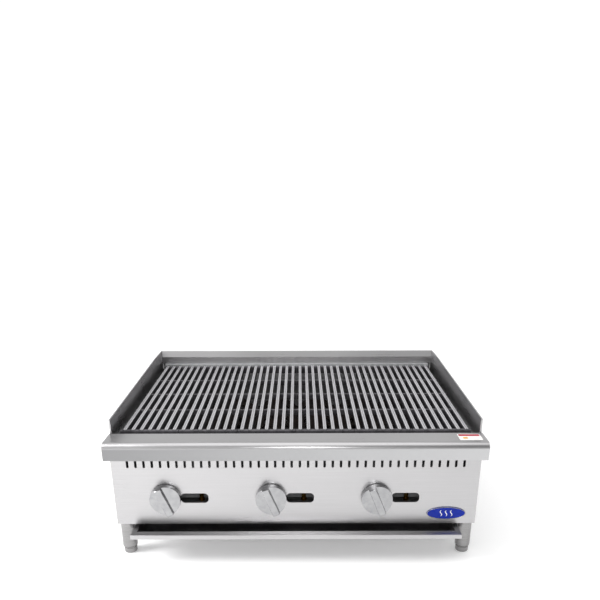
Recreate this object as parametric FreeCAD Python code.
import FreeCAD, Part
import math
import os

# Countertop gas radiant charbroiler: three burners, six lift-out grates and a pull-out crumb tray.
# Millimetres. +X is to the cook's right, +Y to the rear, +Z up.
# The origin is on the floor, under the middle of the outer box.

Vector = FreeCAD.Vector

# ---- outer sizes
overall_width = 914.0          # across the ledge
overall_depth = 701.0          # ledge lip to rear splash
leg_clearance = 92.0           # floor to the body's bottom edge
body_height = 237.0            # body's bottom edge to the ledge top
guard_front_rise = 35.7        # ledge top to the side guards at the front
rear_splash_rise = 57.0        # ledge top to the rear splash top

# ---- sheet metal
sheet = 1.2
ledge_sheet = 1.5
seam_gap = 0.3                 # between panels that butt together
over = 1.0                     # how far a cutter runs past the face it cuts
panel_return = 15.0            # front panel's folded edges
side_flange = 12.0             # side panels' folded edges

# ---- front ledge
ledge_overhang = 46.2          # lip face in front of the front panel
ledge_depth = 71.0
ledge_lip = 42.7
ledge_nose_radius = 14.0
ledge_hem = 12.0
ledge_rear_drop = 25.0

# ---- guards
guard_base_drop = 29.0         # ledge top down to the guards' foot
guard_thickness = 5.0          # at the foot
guard_lean = 2.0               # inner skin leans outward by this much at the top
guard_kink_from_rear = 97.0
rear_splash_depth = 14.0
rear_splash_bend_drop = 18.0
rear_splash_top_width = 3.0
rear_panel_inset = 3.0
rear_vent_length = 48.0
rear_vent_gap = 24.0
rear_vent_corner = 2.9
rear_vent_rows = (0.45, 0.6)   # shares of the rear panel's height
guard_lean_start = 10.0        # ledge top down to where the lean begins

# ---- control panel
knob_height = 73.0             # body's bottom edge to the knob axis
shaft_hole_radius = 8.0
sight_slot_width = 69.0
sight_slot_height = 26.0
sight_slot_corner = 10.4
sight_slot_offset = 10.5       # burner centre to slot centre
vent_width = 6.0
vent_height = 28.0
vent_pitch = 20.2
vent_edge = 40.0               # panel side to the first vent
vent_below_lip = 10.3
badge_length = 99.0
badge_height = 35.0
badge_thickness = 2.0
badge_edge = 0.8
badge_from_side = 75.5
badge_above_bottom = 29.5

# ---- grates
grate_count = 6
bars_per_grate = 7
ribs_per_grate = 3             # between the front and rear rails
rib_pitch = 132.0
grate_slope = 1.5              # degrees, rising to the rear
grate_setback = 51.0           # front panel to the grates
grate_rear_gap = 4.0           # grates to the firebox's rear wall
grate_side_clearance = 12.0
grate_gap = 1.2
grate_depth = 24.0
bar_top_width = 8.4
bar_foot_width = 5.0
bar_edge = 0.8                 # flat on the bar's top edges
bar_inset = 10.7               # grate edge to the first bar's centre
bar_front_step = 3.0
groove_width = 3.4
groove_depth = 1.6
rail_width = 12.0
rail_drop = 2.6
rail_edge = 1.5
rib_width = 8.0
rib_drop = 3.4
rib_height = 15.0
seat_gap = 0.4                 # grates over their rests

# ---- firebox
firebox_stud_offset = 2.5      # leg axis to the firebox wall that stands over it
front_wall_gap = 4.0           # behind the ledge
front_wall_top_drop = 11.0
front_shelf_top_drop = 67.0    # ledge top to the shelf's front fold
front_shelf_foot_drop = 89.0   # ledge top to the shelf's rear fold
front_wall_foot_drop = 46.0    # knob axis to the wall's bottom edge
front_wall_depth = 96.0        # front panel to the lower wall
rear_wall_setback = 29.0
rear_wall_clearance = 6.0      # above the base rails
rear_flange_below_splash = 39.8
rest_angle = 20.0
rest_thickness = 3.0
rest_leg = 32.0
rest_end_gap = 1.0             # grate end to the rest's end
mixer_hole_gap = 2.0           # burner mouth rim over the wall's hole

# ---- burners and radiants
burner_count = 3
burner_bank_margin = 42.3
burner_leg_spacing = 124.0
burner_radius = 22.0
burner_wall = 4.0
burner_bend_radius = 36.0
burner_rear_gap = 25.0
burner_front_end = 120.0       # front panel to the closed leg's end
mixer_radius = 30.0
mixer_thickness = 5.0
mixer_hub_radius = 9.0
mixer_rim = 2.0                # flat rim round the mouth
mixer_window_inner = 12.0
mixer_window_outer = 23.0
mixer_front = 81.3             # front panel to the mixer face
throat_radius = 17.0
throat_depth = 112.0
venturi_end = 150.0
port_width = 2.5
port_length = 16.0
port_pitch = 14.0
support_thickness = 3.0
support_front = 165.0
support_rear = 96.0            # rear firebox wall to the rear support
support_notch_gap = 1.0
support_notch_floor = 2.5      # metal left under a burner's notch
support_pipe_gap = 1.55
support_top_rise = 39.0        # burner axis to the support's top
support_flange = 15.0
radiant_thickness = 5.0
radiant_rise = 45.0
radiant_gap = 12.0
radiant_front = 104.0
radiant_rear_gap = 5.0         # to the rear grate rest
radiant_slot_width = 14.0
radiant_slot_length = 36.0
radiant_slot_pitch = 60.0

# ---- gas train
pipe_radius = 13.45
pipe_bore = 10.5
pipe_bend_radius = 26.0
pipe_hole_gap = 2.0
pipe_joint_gap = 2.0           # manifold's straight run beyond the bend
cap_wall = 2.5                 # manifold end cap over the pipe
cap_lead = 8.0
cap_overlap = 6.0
cap_thickness = 4.0
manifold_setback = 45.0
manifold_overrun = 40.0
supply_side_gap = 24.0         # firebox wall to the supply pipe's axis
inlet_radius = 18.0
inlet_bore = 12.1
inlet_thread_length = 18.0
inlet_length = 26.0
inlet_rear_gap = 0.5
inlet_rail_gap = 0.8
inlet_panel_gap = 2.0
inlet_chamfer = 1.2
bracket_half_width = 6.0
bracket_front = 3.0            # in front of the pipe
bracket_seat_depth = 2.0       # bracket's foot of the pipe's saddle
valve_width = 30.0
valve_height = 28.0
valve_front = 28.0
valve_rear = 60.0
valve_corner = 4.0
valve_leg_radius = 9.4
bonnet_radius = 13.0
bonnet_front = 10.0
stem_radius = 4.0
stem_flat = 2.6
stem_clearance = 0.05
stem_front_reach = 24.0        # into the knob
stem_depth = 48.0
stem_flat_start = 4.0          # behind the knob's back
hood_radius = 6.5
hood_hex = 9.0
hood_end = 84.0
hood_nut_length = 10.0
hood_tip_radius = 3.9
orifice_radius = 1.0
orifice_depth = 12.0
shutter_sheet = 1.2
shutter_gap = 0.4
pilot_offset = 20.0            # burner centre to the pilot's axis
pilot_radius = 5.5
pilot_outlet_radius = 4.5
pilot_outlet_rise = 24.0       # manifold axis to the pilot tube
pilot_tube_radius = 2.4
pilot_setback = 118.0
pilot_head = 9.0               # valve top over its outlet
pilot_nut_radius = 7.5
pilot_nut_height = 6.0
pilot_outlet_length = 14.0
pilot_slot_half = 0.7
pilot_slot_depth = 2.0
pilot_tube_bend = 8.0
pilot_tube_rise = 14.0
pilot_post_radius = 6.0
pilot_post_height = 18.0
pilot_bracket_half = 5.0
pilot_bracket_rise = 2.0
pilot_tab_height = 14.0
pilot_port_rise = 10.0
pilot_port_height = 4.0

# ---- knobs
knob_radius = 39.0
knob_skirt = 12.0
knob_reach = 28.0
knob_gap = 2.0
knob_bar_width = 17.0
knob_lean = 22.0               # degrees, bar's top leans to the left
knob_taper = 1.0               # smaller in radius at the front
knob_bar_flare = 1.0           # bar's flank out towards its root
knob_valley = 5.0              # recess's deep end in front of the skirt
knob_shoulder = 1.0            # recess's shallow end behind the skirt's front
knob_edge = 2.0
knob_recess_wall = 6.0
knob_recess_depth = 6.0
knob_boss_wall = 5.0

# ---- base
rail_sheet = 2.0
rail_upstand = 22.0
runner_leg_gap = 0.7           # leg to the runner's web
runner_tray_gap = 0.4          # under the tray's flange
runner_lip = 12.8
rail_front_gap = 20.0
rail_rear_gap = 6.0
cross_rail_front_gap = 4.0     # behind the base rails' front end
cross_rail_wall_gap = 3.0      # behind the firebox's rear wall
cross_rail_width = 20.0
cross_rail_pipe_gap = 3.0      # under the manifold's end cap
leg_radius = 19.0
leg_setback = 26.0
leg_bottom = 17.0
leg_chamfer = 2.5
leg_thread_gap = 0.08
leg_bore_depth = 55.0
stud_radius = 4.0
stud_hole_gap = 0.4
foot_radius = 16.5
foot_gap = 0.3
foot_stem_radius = 6.0
foot_stem_length = 45.0
foot_edge = 2.5
foot_groove = 0.8
foot_groove_width = 1.4
foot_groove_drop = 1.8

# ---- crumb tray
tray_below_body = 7.5
tray_side_gap = 1.3
tray_flange = 12.0
tray_front_flange = 20.0
tray_front_reach = 45.7        # lip face in front of the front panel
tray_lip = 11.5
tray_hem = 6.0
tray_edge = 1.0
tray_depth = 22.0
tray_rear_gap = 41.0

# ---- screws
screw_head_radius = 4.5
screw_head_height = 1.6
screw_shank_radius = 2.0
screw_shank_length = 7.0
screw_hole_gap = 0.2
screw_inset = 6.0
screw_crown = 0.8
side_screw_shares = (0.2, 0.5, 0.8)  # of the side panel's height

# ---- places worked out from the sizes above
body_half = overall_width / 2 - ledge_sheet - seam_gap
lip_y = -overall_depth / 2
panel_y = lip_y + ledge_overhang
rear_y = overall_depth / 2
ledge_rear_y = lip_y + ledge_depth
ledge_top = leg_clearance + body_height
lip_bottom = ledge_top - ledge_lip
overall_height = ledge_top + rear_splash_rise
guard_base = ledge_top - guard_base_drop
guard_inner = body_half - guard_thickness
knob_z = leg_clearance + knob_height
rear_panel_y = rear_y - rear_panel_inset

leg_x = body_half - leg_radius
firebox_half = leg_x + firebox_stud_offset
front_wall_y = ledge_rear_y + front_wall_gap
lower_wall_y = panel_y + front_wall_depth
rear_wall_y = rear_y - rear_wall_setback
rail_top = leg_clearance + rail_sheet

grate_front = panel_y + grate_setback
grate_length = rear_wall_y - grate_rear_gap - grate_front
rear_rest_y = grate_front + grate_length - rest_angle - rest_end_gap
grate_pitch = 2 * (guard_inner - grate_side_clearance) / grate_count
grate_width = grate_pitch - grate_gap

burner_pitch = 2 * (firebox_half - burner_bank_margin) / burner_count
burner_axis_y = rear_wall_y - burner_rear_gap - burner_radius
support_rear_y = rear_wall_y - support_rear
support_top = knob_z + support_top_rise

manifold_y = panel_y + manifold_setback
support_foot = knob_z - burner_radius - support_notch_gap - support_notch_floor
manifold_z = support_foot - support_pipe_gap - pipe_radius
cross_rail_height = manifold_z - pipe_radius - cap_wall - cross_rail_pipe_gap - rail_top
supply_x = firebox_half - supply_side_gap
inlet_end = rear_y - inlet_rear_gap
inlet_start = inlet_end - inlet_length

leg_places = [(side * leg_x, y) for y in (panel_y + leg_setback, rear_y - leg_setback) for side in (-1, 1)]
tray_top = leg_clearance - tray_below_body
runner_x = body_half - 2 * leg_radius - runner_leg_gap
tray_half = runner_x - rail_sheet - tray_side_gap


# ---- small makers
def box(x0, x1, y0, y1, z0, z1):
    return Part.makeBox(x1 - x0, y1 - y0, z1 - z0, Vector(x0, y0, z0))


def rod_y(x, z, radius, y0, y1):
    return Part.makeCylinder(radius, y1 - y0, Vector(x, y0, z), Vector(0, 1, 0))


def rod_z(x, y, radius, z0, z1):
    return Part.makeCylinder(radius, z1 - z0, Vector(x, y, z0), Vector(0, 0, 1))


def rod_x(y, z, radius, x0, x1):
    return Part.makeCylinder(radius, x1 - x0, Vector(x0, y, z), Vector(1, 0, 0))


def polygon_face(corners):
    return Part.Face(Part.makePolygon(corners + [corners[0]]))


def along_x(outline, x0, x1):
    # outline is a list of (y, z) corners
    return polygon_face([Vector(x0, y, z) for y, z in outline]).extrude(Vector(x1 - x0, 0, 0))


def along_y(outline, y0, y1):
    # outline is a list of (x, z) corners
    return polygon_face([Vector(x, y0, z) for x, z in outline]).extrude(Vector(0, y1 - y0, 0))


def along_z(outline, z0, z1):
    # outline is a list of (x, y) corners
    return polygon_face([Vector(x, y, z0) for x, y in outline]).extrude(Vector(0, 0, z1 - z0))


def union(shapes):
    return shapes[0].multiFuse(shapes[1:]).removeSplitter()


def offset_line(points, distance):
    # the same folded line, moved to its left by the distance, with mitred corners
    moved = []
    for index, point in enumerate(points):
        before = points[max(index - 1, 0)]
        after = points[min(index + 1, len(points) - 1)]
        normals = []
        for start, end in ((before, point), (point, after)):
            run = math.hypot(end[0] - start[0], end[1] - start[1])
            if run > 0:
                normals.append(((start[1] - end[1]) / run, (end[0] - start[0]) / run))
        first, last = normals[0], normals[-1]
        share = 1 + first[0] * last[0] + first[1] * last[1]
        shift = ((first[0] + last[0]) / share, (first[1] + last[1]) / share)
        moved.append((point[0] + shift[0] * distance, point[1] + shift[1] * distance))
    return moved


def folded(points, thickness):
    # outline of a sheet folded along the points, its thickness to their left
    return points + offset_line(points, thickness)[::-1]


def mirrored(shape, side):
    if side > 0:
        return shape
    return shape.mirror(Vector(0, 0, 0), Vector(1, 0, 0))


def edges_where(shape, test):
    return [edge for edge in shape.Edges if test(edge.BoundBox)]


def hexagon_round(a, b, radius):
    turns = [math.radians(60 * corner) for corner in range(6)]
    return [(a + radius * math.cos(turn), b + radius * math.sin(turn)) for turn in turns]


def upright_slot(x, z, width, height, y0, y1):
    # a round-ended slot cut through along Y, taller than wide
    radius = width / 2
    middle = box(x - radius, x + radius, y0, y1, z - height / 2 + radius, z + height / 2 - radius)
    ends = [rod_y(x, z + sign * (height / 2 - radius), radius, y0, y1) for sign in (-1, 1)]
    return union([middle] + ends)


def level_slot(x, z, width, height, y0, y1, radius):
    # a slot cut through along Y, wider than tall, with rounded corners
    block = box(x - width / 2, x + width / 2, y0, y1, z - height / 2, z + height / 2)
    corners = edges_where(block, lambda b: b.YLength > 0.9 * (y1 - y0))
    return block.makeFillet(radius, corners)


def swept_tube(points, bend_radius, radius, bore):
    # a round tube along straight runs joined by tangent arcs
    edges = []
    start = points[0]
    for index in range(1, len(points) - 1):
        corner = points[index]
        back = (points[index - 1] - corner).normalize()
        ahead = (points[index + 1] - corner).normalize()
        half_angle = back.getAngle(ahead) / 2
        reach = bend_radius / math.tan(half_angle)
        entry = corner + back * reach
        leave = corner + ahead * reach
        to_centre = (back + ahead).normalize()
        centre = corner + to_centre * (bend_radius / math.sin(half_angle))
        middle = centre - to_centre * bend_radius
        edges.append(Part.LineSegment(start, entry).toShape())
        edges.append(Part.Arc(entry, middle, leave).toShape())
        start = leave
    edges.append(Part.LineSegment(start, points[-1]).toShape())
    path = Part.Wire(edges)
    direction = (points[1] - points[0]).normalize()

    def pipe(size):
        ring = Part.Wire([Part.makeCircle(size, points[0], direction)])
        return path.makePipeShell([ring], True, False)

    if bore <= 0:
        return pipe(radius)
    return pipe(radius).cut(pipe(bore))


def save(name, shape):
    solid = shape.Solids[0] if len(shape.Solids) == 1 else Part.makeCompound(shape.Solids)
    solid.exportStep("parts/" + name + ".step")


# ---- burner places
def burner_centres():
    middle = (burner_count - 1) / 2
    return [(index - middle) * burner_pitch for index in range(burner_count)]


def knob_places():
    return [centre - burner_leg_spacing / 2 for centre in burner_centres()]


# ---- body panels
def make_front_ledge():
    half = overall_width / 2

    def nosed_block(inset, bottom):
        block = box(-half + inset, half - inset, lip_y + inset, ledge_rear_y - inset, bottom, ledge_top - inset)
        nose = edges_where(block, lambda b: b.XLength > half and b.YMax < lip_y + inset + over
                           and b.ZMin > ledge_top - inset - over)
        return block.makeFillet(ledge_nose_radius - inset, nose)

    shell = nosed_block(0, lip_bottom).cut(nosed_block(ledge_sheet, lip_bottom - over))
    rear_opening = box(-half + ledge_sheet, half - ledge_sheet, ledge_rear_y - 2 * ledge_sheet,
                       ledge_rear_y + over, lip_bottom - over, ledge_top - ledge_rear_drop)
    hem = box(-half + ledge_sheet / 2, half - ledge_sheet / 2, lip_y + ledge_sheet / 2, lip_y + ledge_hem,
              lip_bottom, lip_bottom + ledge_sheet)
    return union([shell.cut(rear_opening), hem])


def vent_cutters():
    span = 2 * (body_half - vent_edge)
    count = int(span / vent_pitch) + 1
    first = -(count - 1) * vent_pitch / 2
    z = lip_bottom - vent_below_lip - vent_height / 2
    front, back = panel_y - over, panel_y + 2 * sheet
    return [upright_slot(first + index * vent_pitch, z, vent_width, vent_height, front, back)
            for index in range(count)]


def make_front_panel():
    top = ledge_top - ledge_sheet
    outer = box(-body_half, body_half, panel_y, panel_y + panel_return, leg_clearance, top)
    inner = box(-body_half + sheet, body_half - sheet, panel_y + sheet, panel_y + panel_return + over,
                leg_clearance + sheet, top - sheet)
    cutters = vent_cutters()
    for x in knob_places():
        cutters.append(rod_y(x, knob_z, shaft_hole_radius, panel_y - over, panel_y + 2 * sheet))
    for x in burner_centres():
        cutters.append(level_slot(x + sight_slot_offset, knob_z, sight_slot_width, sight_slot_height,
                                  panel_y - over, panel_y + 2 * sheet, sight_slot_corner))
    return outer.cut(inner).cut(Part.makeCompound(cutters))


def side_screw_places():
    front = panel_y + panel_return + seam_gap + screw_inset
    rear = rear_panel_y - sheet - screw_inset
    heights = [leg_clearance + (guard_base - leg_clearance) * share for share in side_screw_shares]
    return [(y, z) for y in (front, rear) for z in heights]


def rear_screw_places():
    xs = [body_half - sheet - screw_inset, body_half / 3]
    z_low = leg_clearance + screw_inset + rail_sheet
    return [(sign * x, z) for x in xs for sign in (-1, 1) for z in (z_low, guard_base - 2 * screw_inset)]


def rear_screw_holes(y0, y1):
    return [rod_y(x, z, screw_shank_radius + screw_hole_gap, y0, y1) for x, z in rear_screw_places()]


def make_side_panel(side):
    front = panel_y + panel_return + seam_gap
    rear = rear_panel_y - sheet
    fold_edge = body_half - side_flange
    fold = [(fold_edge, front), (body_half, front), (body_half, rear), (fold_edge, rear)]
    panel = along_z(folded(fold, sheet), leg_clearance, guard_base)
    holes = [rod_x(y, z, screw_shank_radius + screw_hole_gap, body_half - 2 * sheet, body_half + over)
             for y, z in side_screw_places()]
    holes += rear_screw_holes(rear - 2 * sheet, rear + over)
    return mirrored(panel.cut(Part.makeCompound(holes)), side)


def make_rear_panel():
    front = rear_panel_y - sheet
    panel = box(-body_half, body_half, front, rear_panel_y, leg_clearance, guard_base)
    y0, y1 = front - over, rear_panel_y + over
    cutters = rear_screw_holes(y0, y1)
    cutters.append(rod_y(supply_x, manifold_z, inlet_radius + inlet_panel_gap, y0, y1))
    pitch = rear_vent_length + rear_vent_gap
    columns = int((body_half - rear_vent_length) / pitch)
    for row in rear_vent_rows:
        z = leg_clearance + (guard_base - leg_clearance) * row
        for column in range(-columns, columns + 1):
            x = column * pitch
            cutters.append(level_slot(x, z, rear_vent_length, vent_width, y0, y1, rear_vent_corner))
    return panel.cut(Part.makeCompound(cutters))


def guard_block(inset, foot):
    # the right guard's outer form, every face but the foot moved in by inset
    front_y = ledge_rear_y + seam_gap
    kink_y = rear_y - guard_kink_from_rear
    rear_top = overall_height
    outline = [(front_y + inset, foot), (front_y + inset, ledge_top + guard_front_rise - inset),
               (kink_y, rear_top - inset), (rear_y - inset, rear_top - inset), (rear_y - inset, foot)]
    block = along_x(outline, guard_inner, body_half - inset)
    lean_foot = ledge_top - guard_lean_start
    skin = guard_inner + inset
    slant = [(guard_inner - over, foot - over), (skin, foot - over), (skin, lean_foot),
             (skin + guard_lean, rear_top + over), (guard_inner - over, rear_top + over)]
    return block.cut(along_y(slant, front_y - over, rear_y + over))


def make_side_guard(side):
    return mirrored(guard_block(0, guard_base).cut(guard_block(sheet, guard_base - over)), side)


def make_rear_splash():
    front = rear_y - rear_splash_depth
    bend = overall_height - rear_splash_bend_drop
    fold = [(front, overall_height - rear_flange_below_splash), (front, bend),
            (rear_y - rear_splash_top_width, overall_height), (rear_y, overall_height), (rear_y, guard_base)]
    half = body_half - sheet
    outline = fold + offset_line(fold, -sheet)[::-1]
    splash = along_x(outline, -half, half)
    for side in (-1, 1):
        splash = splash.cut(mirrored(guard_block(-seam_gap, guard_base - over), side))
    return splash


# ---- firebox
def make_firebox_side(side):
    top = guard_base
    fold = [(firebox_half, rail_top), (firebox_half, top), (body_half - sheet, top)]
    wall = along_y(folded(fold, -sheet), front_wall_y, rear_y - rear_splash_depth - seam_gap)
    return mirrored(wall, side)


def make_front_firebox_wall():
    fold = [(front_wall_y, ledge_top - front_wall_top_drop), (front_wall_y, ledge_top - front_shelf_top_drop),
            (lower_wall_y, ledge_top - front_shelf_foot_drop), (lower_wall_y, knob_z - front_wall_foot_drop)]
    wall = along_x(folded(fold, sheet), -firebox_half, firebox_half)
    front, back = lower_wall_y - 2 * sheet, lower_wall_y + 2 * sheet
    cutters = [rod_y(x, knob_z, mixer_radius - mixer_hole_gap, front, back) for x in knob_places()]
    for x in burner_centres():
        z = manifold_z + pilot_outlet_rise
        cutters.append(rod_y(x + pilot_offset, z, 2 * pilot_tube_radius, front, back))
    notch = pipe_radius + pipe_hole_gap
    cutters.append(rod_y(supply_x, manifold_z, notch, front, back))
    cutters.append(box(supply_x - notch, supply_x + notch, front, back, manifold_z - 2 * notch, manifold_z))
    return wall.cut(Part.makeCompound(cutters))


def make_rear_firebox_wall():
    flange_z = overall_height - rear_flange_below_splash
    fold = [(rear_wall_y, rail_top + rear_wall_clearance), (rear_wall_y, flange_z),
            (rear_y - rear_splash_depth + sheet, flange_z)]
    wall = along_x(folded(fold, -sheet), -firebox_half, firebox_half)
    hole_radius = pipe_radius + pipe_hole_gap
    return wall.cut(rod_y(supply_x, manifold_z, hole_radius, rear_wall_y - over, rear_wall_y + 2 * sheet))


def grate_bottom_at(y):
    return ledge_top - grate_depth + (y - grate_front) * math.tan(math.radians(grate_slope))


def make_grate_rest(y):
    top = grate_bottom_at(y) - seat_gap
    fold = [(y, top - rest_leg), (y, top), (y + rest_angle, top)]
    return along_x(folded(fold, -rest_thickness), -firebox_half, firebox_half)


# ---- grates
def grate_bar(x, length):
    # a tapered bar with a grease groove along its top
    top = bar_top_width / 2
    foot = bar_foot_width / 2
    groove = groove_width / 2
    left = [(-foot, -grate_depth), (-top, -bar_edge), (bar_edge - top, 0), (-groove, 0),
            (-groove / 2, -groove_depth)]
    outline = [(x + dx, z) for dx, z in left] + [(x - dx, z) for dx, z in reversed(left)]
    return along_y(outline, bar_front_step, length - bar_front_step)


def make_grate(index):
    middle = (grate_count - 1) / 2
    centre = (index - middle) * grate_pitch
    half = grate_width / 2
    bar_pitch = (grate_width - 2 * bar_inset) / (bars_per_grate - 1)
    pieces = [grate_bar(-half + bar_inset + number * bar_pitch, grate_length)
              for number in range(bars_per_grate)]
    for y in (0, grate_length - rail_width):
        rail = box(-half, half, y, y + rail_width, -grate_depth, -rail_drop)
        tops = edges_where(rail, lambda b: b.ZMin > -rail_drop - over)
        pieces.append(rail.makeFillet(rail_edge, tops))
    for number in range(ribs_per_grate):
        y = grate_length / 2 + (number - (ribs_per_grate - 1) / 2) * rib_pitch
        pieces.append(box(-half, half, y - rib_width / 2, y + rib_width / 2, -rib_drop - rib_height, -rib_drop))
    grate = union(pieces)
    grate.rotate(Vector(0, 0, 0), Vector(1, 0, 0), grate_slope)
    grate.translate(Vector(centre, grate_front, ledge_top))
    return grate


# ---- burners
def make_burner_support(y, direction):
    half = firebox_half
    foot = support_foot
    web = box(-half, half, y, y + support_thickness, foot, support_top)
    flange_y = sorted((y, y + direction * support_flange))
    flange = box(-half, half, flange_y[0], flange_y[1], foot, foot + support_thickness)
    web = union([web, flange])
    notch = burner_radius + support_notch_gap
    front, back = y - support_flange - over, y + support_flange + over
    cutters = []
    for centre in burner_centres():
        for sign in (-1, 1):
            x = centre + sign * burner_leg_spacing / 2
            cutters.append(rod_y(x, knob_z, notch, front, back))
            cutters.append(box(x - notch, x + notch, front, back, knob_z, support_top + over))
    return web.cut(Part.makeCompound(cutters))


def burner_body(centre, radius, front):
    # the U-shaped tube: in along the left leg, across the rear, back along the right leg
    left = centre - burner_leg_spacing / 2
    right = centre + burner_leg_spacing / 2
    points = [Vector(left, panel_y + venturi_end, knob_z), Vector(left, burner_axis_y, knob_z),
              Vector(right, burner_axis_y, knob_z), Vector(right, front, knob_z)]
    return swept_tube(points, burner_bend_radius, radius, 0)


def venturi(x, wall):
    # mouth, throat and widening cone, on the burner's axis
    mouth = panel_y + mixer_front
    throat = panel_y + throat_depth
    end = panel_y + venturi_end
    bell = Part.makeCone(mixer_radius - mixer_rim - 1 - wall, throat_radius - wall, throat - mouth,
                         Vector(x, mouth, knob_z), Vector(0, 1, 0))
    cone = Part.makeCone(throat_radius - wall, burner_radius - wall, end - throat,
                         Vector(x, throat, knob_z), Vector(0, 1, 0))
    return bell.fuse(cone)


def make_burner(centre):
    left = centre - burner_leg_spacing / 2
    front = panel_y + burner_front_end
    mouth = panel_y + mixer_front
    outer = union([burner_body(centre, burner_radius, front), venturi(left, 0),
                   rod_y(left, knob_z, mixer_radius, mouth, mouth + mixer_thickness)])
    hollow = burner_body(centre, burner_radius - burner_wall, front + burner_wall)
    hollow = hollow.fuse(venturi(left, burner_wall))
    face_plug = rod_y(left, knob_z, mixer_radius - mixer_rim, mouth, mouth + mixer_rim)
    windows = mixer_windows(left, mouth - over, mouth + mixer_rim + over)
    hub_hole = rod_y(left, knob_z, mixer_hub_radius, mouth - over, mouth + mixer_rim + over)
    body = union([outer.cut(hollow), face_plug]).cut(Part.makeCompound(windows + [hub_hole]))
    return body.cut(Part.makeCompound(burner_ports(centre)))


def burner_ports(centre):
    ports = []
    start = panel_y + venturi_end + port_pitch
    count = int((burner_axis_y - burner_bend_radius - start) / port_pitch)
    for sign in (-1, 1):
        x = centre + sign * burner_leg_spacing / 2
        for number in range(count):
            y = start + number * port_pitch
            ports.append(box(x - port_length / 2, x + port_length / 2, y, y + port_width,
                             knob_z + burner_radius / 2, knob_z + burner_radius + over))
    return ports


def mixer_windows(x, y0, y1):
    # two quarter-ring air openings
    ring = rod_y(x, knob_z, mixer_window_outer, y0, y1).cut(rod_y(x, knob_z, mixer_window_inner, y0, y1))
    reach = mixer_radius
    quarters = [box(x, x + reach, y0, y1, knob_z, knob_z + reach),
                box(x - reach, x, y0, y1, knob_z - reach, knob_z)]
    return [ring.common(quarter) for quarter in quarters]


def make_air_shutter(x):
    # a cap that turns on the mixer face and covers its windows
    face_rear = panel_y + mixer_front - shutter_gap
    face_front = face_rear - shutter_sheet
    inner = mixer_radius + shutter_gap
    cap = rod_y(x, knob_z, inner + shutter_sheet, face_front, face_rear + mixer_thickness)
    cap = cap.cut(rod_y(x, knob_z, inner, face_rear, face_rear + mixer_thickness + over))
    holes = mixer_windows(x, face_front - over, face_rear + over)
    holes.append(rod_y(x, knob_z, mixer_hub_radius, face_front - over, face_rear + over))
    return cap.cut(Part.makeCompound(holes))


def make_radiant(centre):
    # two cast ridges, one over each burner leg, with heat slots in their flanks
    half = (burner_pitch - radiant_gap) / 2
    leg = burner_leg_spacing / 2
    low = support_top
    high = support_top + radiant_rise
    fold = [(centre - half, low), (centre - leg, high), (centre, low), (centre + leg, high),
            (centre + half, low)]
    front = panel_y + radiant_front
    rear = rear_rest_y - radiant_rear_gap
    plate = along_y(folded(fold, radiant_thickness), front, rear)
    slots = []
    flanks = [-(half + leg) / 2, -leg / 2, leg / 2, (half + leg) / 2]
    count = int((rear - front - radiant_slot_length) / radiant_slot_pitch)
    for flank in flanks:
        for number in range(count):
            y = front + radiant_slot_pitch * (number + 0.5)
            x = centre + flank
            slots.append(box(x - radiant_slot_width / 2, x + radiant_slot_width / 2, y, y + radiant_slot_length,
                             low - over, high + 2 * radiant_thickness))
    return plate.cut(Part.makeCompound(slots))


# ---- gas train
def make_manifold():
    left = knob_places()[0] - manifold_overrun
    right = supply_x - pipe_bend_radius - pipe_joint_gap
    pipe = rod_x(manifold_y, manifold_z, pipe_radius, left, right)
    cap = rod_x(manifold_y, manifold_z, pipe_radius + cap_wall, left - cap_lead, left + cap_overlap)
    bore = rod_x(manifold_y, manifold_z, pipe_bore, left + cap_thickness, right + over)
    return union([pipe, cap]).cut(bore)


def make_supply_pipe():
    start = Vector(supply_x - pipe_bend_radius - pipe_joint_gap, manifold_y, manifold_z)
    corner = Vector(supply_x, manifold_y, manifold_z)
    end = Vector(supply_x, inlet_start, manifold_z)
    return swept_tube([start, corner, end], pipe_bend_radius, pipe_radius, pipe_bore)


def make_rear_inlet():
    body = rod_y(supply_x, manifold_z, inlet_radius, inlet_start, inlet_end)
    rims = edges_where(body, lambda b: b.YLength < 0.1 and b.XLength > inlet_radius)
    body = body.makeChamfer(inlet_chamfer, rims)
    bore = rod_y(supply_x, manifold_z, inlet_bore, inlet_end - inlet_thread_length, inlet_end + over)
    return body.cut(bore).cut(rod_y(supply_x, manifold_z, pipe_bore, inlet_start - over, inlet_end))


def make_manifold_brackets():
    brackets = []
    for x in (knob_places()[0] - manifold_overrun / 2, knob_places()[-1] + manifold_overrun):
        x0, x1 = x - bracket_half_width, x + bracket_half_width
        block = box(x0, x1, manifold_y - pipe_radius - bracket_front, manifold_y + pipe_radius,
                    rail_top + cross_rail_height, manifold_z - bracket_seat_depth)
        brackets.append(block.cut(rod_x(manifold_y, manifold_z, pipe_radius, x0 - over, x1 + over)))
    return Part.makeCompound(brackets)


def make_gas_valve(x):
    core = box(x - valve_width / 2, x + valve_width / 2, panel_y + valve_front, panel_y + valve_rear,
               knob_z - valve_height / 2, knob_z + valve_height / 2)
    corners = edges_where(core, lambda b: b.YLength > valve_rear - valve_front - over)
    core = core.makeFillet(valve_corner, corners)
    bonnet = rod_y(x, knob_z, bonnet_radius, panel_y + bonnet_front, panel_y + valve_front + over)
    leg = rod_z(x, manifold_y, valve_leg_radius, manifold_z + pipe_radius / 2, knob_z)
    saddle = rod_x(manifold_y, manifold_z, pipe_radius, x - valve_width, x + valve_width)
    body = union([core, bonnet, leg]).cut(saddle)
    return body.cut(rod_y(x, knob_z, stem_radius + stem_clearance, panel_y + bonnet_front - over,
                          panel_y + stem_depth + over))


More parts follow.
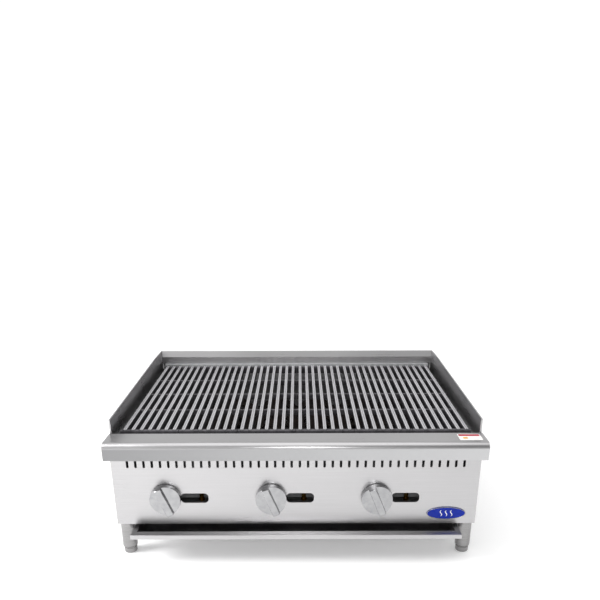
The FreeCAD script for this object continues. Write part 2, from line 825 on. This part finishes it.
def stem_rod(x, rear):
    # the stem from its flattened front end to rear
    front = panel_y - knob_gap - stem_front_reach
    reach = 2 * stem_radius
    flat_end = panel_y - knob_gap - stem_flat_start
    flat = box(x - reach, x + reach, front - over, flat_end, knob_z + stem_flat, knob_z + reach)
    return rod_y(x, knob_z, stem_radius, front, rear).cut(flat)


def make_valve_stem(x):
    return stem_rod(x, panel_y + stem_depth)


def make_orifice_hoods():
    hoods = []
    for x in knob_places():
        start = panel_y + valve_rear
        end = panel_y + hood_end
        hexagon = hexagon_round(x, knob_z, hood_hex)
        tip_start = start + hood_nut_length
        nut = along_y(hexagon, start, tip_start)
        tip = Part.makeCone(hood_radius, hood_tip_radius, end - tip_start, Vector(x, tip_start, knob_z),
                            Vector(0, 1, 0))
        orifice = rod_y(x, knob_z, orifice_radius, end - orifice_depth, end + over)
        hoods.append(nut.fuse(tip).cut(orifice))
    return Part.makeCompound(hoods)


def make_pilot_valves():
    valves = []
    for centre in burner_centres():
        x = centre + pilot_offset
        pipe_top = manifold_z + pipe_radius
        top = manifold_z + pilot_outlet_rise + pilot_head
        reach = 2 * pilot_nut_radius
        post = rod_z(x, manifold_y, pilot_radius, manifold_z, top)
        nut = along_z(hexagon_round(x, manifold_y, pilot_nut_radius), pipe_top, pipe_top + pilot_nut_height)
        outlet = rod_y(x, manifold_z + pilot_outlet_rise, pilot_outlet_radius, manifold_y,
                       manifold_y + pilot_outlet_length)
        slot = box(x - reach, x + reach, manifold_y - pilot_slot_half, manifold_y + pilot_slot_half,
                   top - pilot_slot_depth, top + over)
        saddle = rod_x(manifold_y, manifold_z, pipe_radius, x - reach, x + reach)
        valve = union([post, nut, outlet]).cut(saddle)
        valves.append(valve.cut(slot))
    return Part.makeCompound(valves)


def make_pilot_tubes():
    tubes = []
    for centre in burner_centres():
        x = centre + pilot_offset
        z = manifold_z + pilot_outlet_rise
        points = [Vector(x, manifold_y + pilot_outlet_length, z), Vector(x, panel_y + pilot_setback, z),
                  Vector(x, panel_y + pilot_setback, z + pilot_tube_rise)]
        tubes.append(swept_tube(points, pilot_tube_bend, pilot_tube_radius, 0))
    return Part.makeCompound(tubes)


def make_pilot_burners():
    burners = []
    half = pilot_bracket_half
    for centre in burner_centres():
        x = centre + pilot_offset
        y = panel_y + pilot_setback
        foot = manifold_z + pilot_outlet_rise + pilot_tube_rise
        post = rod_z(x, y, pilot_post_radius, foot, foot + pilot_post_height)
        rear_face = lower_wall_y + sheet
        low = foot + pilot_bracket_rise
        bracket = box(x - half, x + half, rear_face, y, low, low + rail_sheet)
        tab = box(x - half, x + half, rear_face, rear_face + rail_sheet, low, low + pilot_tab_height)
        port_low = foot + pilot_port_rise
        port = box(x, x + 2 * half, y - pilot_port_height / 2, y + pilot_port_height / 2,
                   port_low, port_low + pilot_port_height)
        burners.append(union([post, bracket, tab]).cut(port))
    return Part.makeCompound(burners)


# ---- knobs
def make_knob(x):
    # a round skirt with a grip bar across its face, and a sloping recess each side of the bar
    back = panel_y - knob_gap
    front = back - knob_reach
    face_radius = knob_radius - knob_taper
    body = Part.makeCone(knob_radius, face_radius, knob_reach, Vector(x, back, knob_z), Vector(0, -1, 0))
    shoulder = back - knob_skirt
    cuts = []
    for sign in (-1, 1):
        near = x + sign * knob_bar_width / 2
        root = near + sign * knob_bar_flare
        far = x + sign * (knob_radius + knob_edge)
        foot = knob_z - 2 * knob_radius
        outline = [Vector(near, front - over, foot), Vector(root, shoulder - knob_valley, foot),
                   Vector(far, shoulder + knob_shoulder, foot), Vector(far, front - over, foot)]
        cuts.append(polygon_face(outline).extrude(Vector(0, 0, 4 * knob_radius)))
    body = body.cut(Part.makeCompound(cuts))
    bar_ends = edges_where(body, lambda b: b.YMax < front + knob_edge / 10)
    body = body.makeFillet(knob_edge, bar_ends)
    body.rotate(Vector(x, 0, knob_z), Vector(0, 1, 0), -knob_lean)
    recess = rod_y(x, knob_z, knob_radius - knob_recess_wall, back - knob_recess_depth, back + over)
    boss = rod_y(x, knob_z, stem_radius + knob_boss_wall, back - knob_recess_depth, back)
    return body.cut(recess.cut(boss)).cut(stem_rod(x, back + over))


# ---- base
def make_base_rail(side):
    top_of_fold = leg_clearance + rail_upstand
    outer_x = body_half - sheet
    fold = [(outer_x, top_of_fold), (outer_x, leg_clearance), (runner_x - rail_sheet, leg_clearance)]
    lip_z = tray_top - 2 * sheet - runner_tray_gap
    drop = [(runner_x, leg_clearance), (runner_x, lip_z), (runner_x - runner_lip, lip_z)]
    front = panel_y + rail_front_gap
    rear = rear_panel_y - sheet - rail_rear_gap
    channel = along_y(folded(fold, -rail_sheet), front, rear)
    runner = along_y(folded(drop, -sheet), front, rear)
    rail = union([channel, runner])
    holes = [rod_z(leg_x, y, stud_radius + stud_hole_gap, leg_clearance - over, rail_top + over)
             for x, y in leg_places if x > 0]
    return mirrored(rail.cut(Part.makeCompound(holes)), side)


def make_cross_rails():
    rails = []
    top = rail_top + cross_rail_height
    for y in (panel_y + rail_front_gap + cross_rail_front_gap, rear_wall_y + sheet + cross_rail_wall_gap):
        outer = box(-firebox_half, firebox_half, y, y + cross_rail_width, rail_top, top)
        inner = box(-firebox_half - over, firebox_half + over, y + sheet, y + cross_rail_width - sheet,
                    rail_top - over, top - sheet)
        holes = rear_screw_holes(rear_wall_y, rear_y)
        holes.append(rod_y(supply_x, manifold_z, inlet_radius + inlet_rail_gap, rear_wall_y, rear_y))
        rails.append(outer.cut(inner).cut(Part.makeCompound(holes)))
    return Part.makeCompound(rails)


def make_legs():
    legs = []
    for x, y in leg_places:
        tube = rod_z(x, y, leg_radius, leg_bottom, leg_clearance)
        rim = edges_where(tube, lambda b: b.ZMax < leg_bottom + over and b.XLength > leg_radius)
        tube = tube.makeChamfer(leg_chamfer, rim)
        stud = rod_z(x, y, stud_radius, leg_clearance - over, rail_top)
        bore = rod_z(x, y, foot_stem_radius + leg_thread_gap, leg_bottom - over, leg_bottom + leg_bore_depth)
        legs.append(tube.fuse(stud).removeSplitter().cut(bore))
    return Part.makeCompound(legs)


def make_foot(x, y):
    top = leg_bottom - foot_gap
    pad = rod_z(x, y, foot_radius, 0, top)
    bottom_rim = edges_where(pad, lambda b: b.ZMax < over and b.XLength > foot_radius)
    pad = pad.makeFillet(foot_edge, bottom_rim)
    groove_top = top - foot_groove_drop
    groove = rod_z(x, y, foot_radius + over, groove_top - foot_groove_width, groove_top).cut(
        rod_z(x, y, foot_radius - foot_groove, 0, top))
    stem = rod_z(x, y, foot_stem_radius, top - over, top + foot_stem_length)
    return pad.cut(groove).fuse(stem).removeSplitter()


# ---- crumb tray
def make_crumb_tray():
    front = panel_y - tray_front_reach
    pan_front = front + tray_front_flange
    pan_half = tray_half - tray_flange
    rear = rear_y - tray_rear_gap
    pan_rear = rear - tray_flange
    pan_bottom = tray_top - tray_depth
    plate = box(-tray_half, tray_half, front, rear, tray_top - sheet, tray_top)
    lip = box(-tray_half, tray_half, front, front + sheet, tray_top - tray_lip, tray_top)
    hem = box(-tray_half, tray_half, front, front + tray_hem, tray_top - tray_lip, tray_top - tray_lip + sheet)
    pan = box(-pan_half - sheet, pan_half + sheet, pan_front - sheet, pan_rear + sheet, pan_bottom, tray_top)
    hollow = box(-pan_half, pan_half, pan_front, pan_rear, pan_bottom + sheet, tray_top + over)
    tray = union([plate, lip, hem, pan]).cut(hollow)
    nose = edges_where(tray, lambda b: b.XLength > tray_half and b.YMax < front + sheet / 2
                       and b.ZMin > tray_top - sheet / 2)
    return tray.makeFillet(tray_edge, nose)


# ---- trim and screws
def make_badge():
    ellipse = Part.Ellipse(Vector(0, 0, 0), badge_length / 2, badge_height / 2).toShape()
    plate = Part.Face(Part.Wire([ellipse])).extrude(Vector(0, 0, badge_thickness))
    rim = edges_where(plate, lambda b: b.ZMin > badge_thickness / 2)
    plate = plate.makeFillet(badge_edge, rim)
    plate.rotate(Vector(0, 0, 0), Vector(1, 0, 0), 90)
    plate.translate(Vector(body_half - badge_from_side, panel_y, leg_clearance + badge_above_bottom))
    return plate


def screw(head_centre, direction):
    # a pan-head screw: its head stands out along direction, its shank goes the other way
    head = Part.makeCylinder(screw_head_radius, screw_head_height, head_centre, direction)
    shank = Part.makeCylinder(screw_shank_radius, screw_shank_length, head_centre, direction * -1)
    crown = edges_where(head, lambda b: (b.Center - head_centre).dot(direction) > screw_head_height * 0.9
                        and b.DiagonalLength > screw_head_radius)
    return head.makeFillet(screw_crown, crown).fuse(shank).removeSplitter()


def make_panel_screws():
    screws = []
    for side in (-1, 1):
        for y, z in side_screw_places():
            screws.append(screw(Vector(side * body_half, y, z), Vector(side, 0, 0)))
    for x, z in rear_screw_places():
        screws.append(screw(Vector(x, rear_panel_y, z), Vector(0, 1, 0)))
    return Part.makeCompound(screws)


def build():
    sides = (("left", -1), ("right", 1))
    places = ("left", "centre", "right")

    save("front_ledge", make_front_ledge())
    save("front_panel", make_front_panel())
    save("rear_panel", make_rear_panel())
    save("rear_splash_guard", make_rear_splash())
    for name, side in sides:
        save(name + "_side_panel", make_side_panel(side))
        save(name + "_splash_guard", make_side_guard(side))
        save(name + "_firebox_wall", make_firebox_side(side))
        save(name + "_base_rail", make_base_rail(side))
    save("front_firebox_wall", make_front_firebox_wall())
    save("rear_firebox_wall", make_rear_firebox_wall())
    save("cross_rails", make_cross_rails())

    save("front_grate_rest", make_grate_rest(grate_front + rest_end_gap))
    save("rear_grate_rest", make_grate_rest(rear_rest_y))
    for index in range(grate_count):
        save("grate_%d" % (index + 1), make_grate(index))

    save("front_burner_support", make_burner_support(panel_y + support_front, 1))
    save("rear_burner_support", make_burner_support(support_rear_y, -1))
    for name, centre in zip(places, burner_centres()):
        save(name + "_burner", make_burner(centre))
        save(name + "_radiant", make_radiant(centre))

    save("gas_manifold", make_manifold())
    save("manifold_brackets", make_manifold_brackets())
    save("supply_pipe", make_supply_pipe())
    save("rear_inlet_fitting", make_rear_inlet())
    for name, x in zip(places, knob_places()):
        save(name + "_gas_valve", make_gas_valve(x))
        save(name + "_valve_stem", make_valve_stem(x))
        save(name + "_knob", make_knob(x))
        save(name + "_air_shutter", make_air_shutter(x))
    save("orifice_hoods", make_orifice_hoods())
    save("pilot_valves", make_pilot_valves())
    save("pilot_tubes", make_pilot_tubes())
    save("pilot_burners", make_pilot_burners())

    save("crumb_tray", make_crumb_tray())
    save("legs", make_legs())
    foot_names = ("front_left_foot", "front_right_foot", "rear_left_foot", "rear_right_foot")
    for name, (x, y) in zip(foot_names, leg_places):
        save(name, make_foot(x, y))

    save("oval_badge", make_badge())
    save("panel_screws", make_panel_screws())


os.makedirs("parts", exist_ok=True)
build()
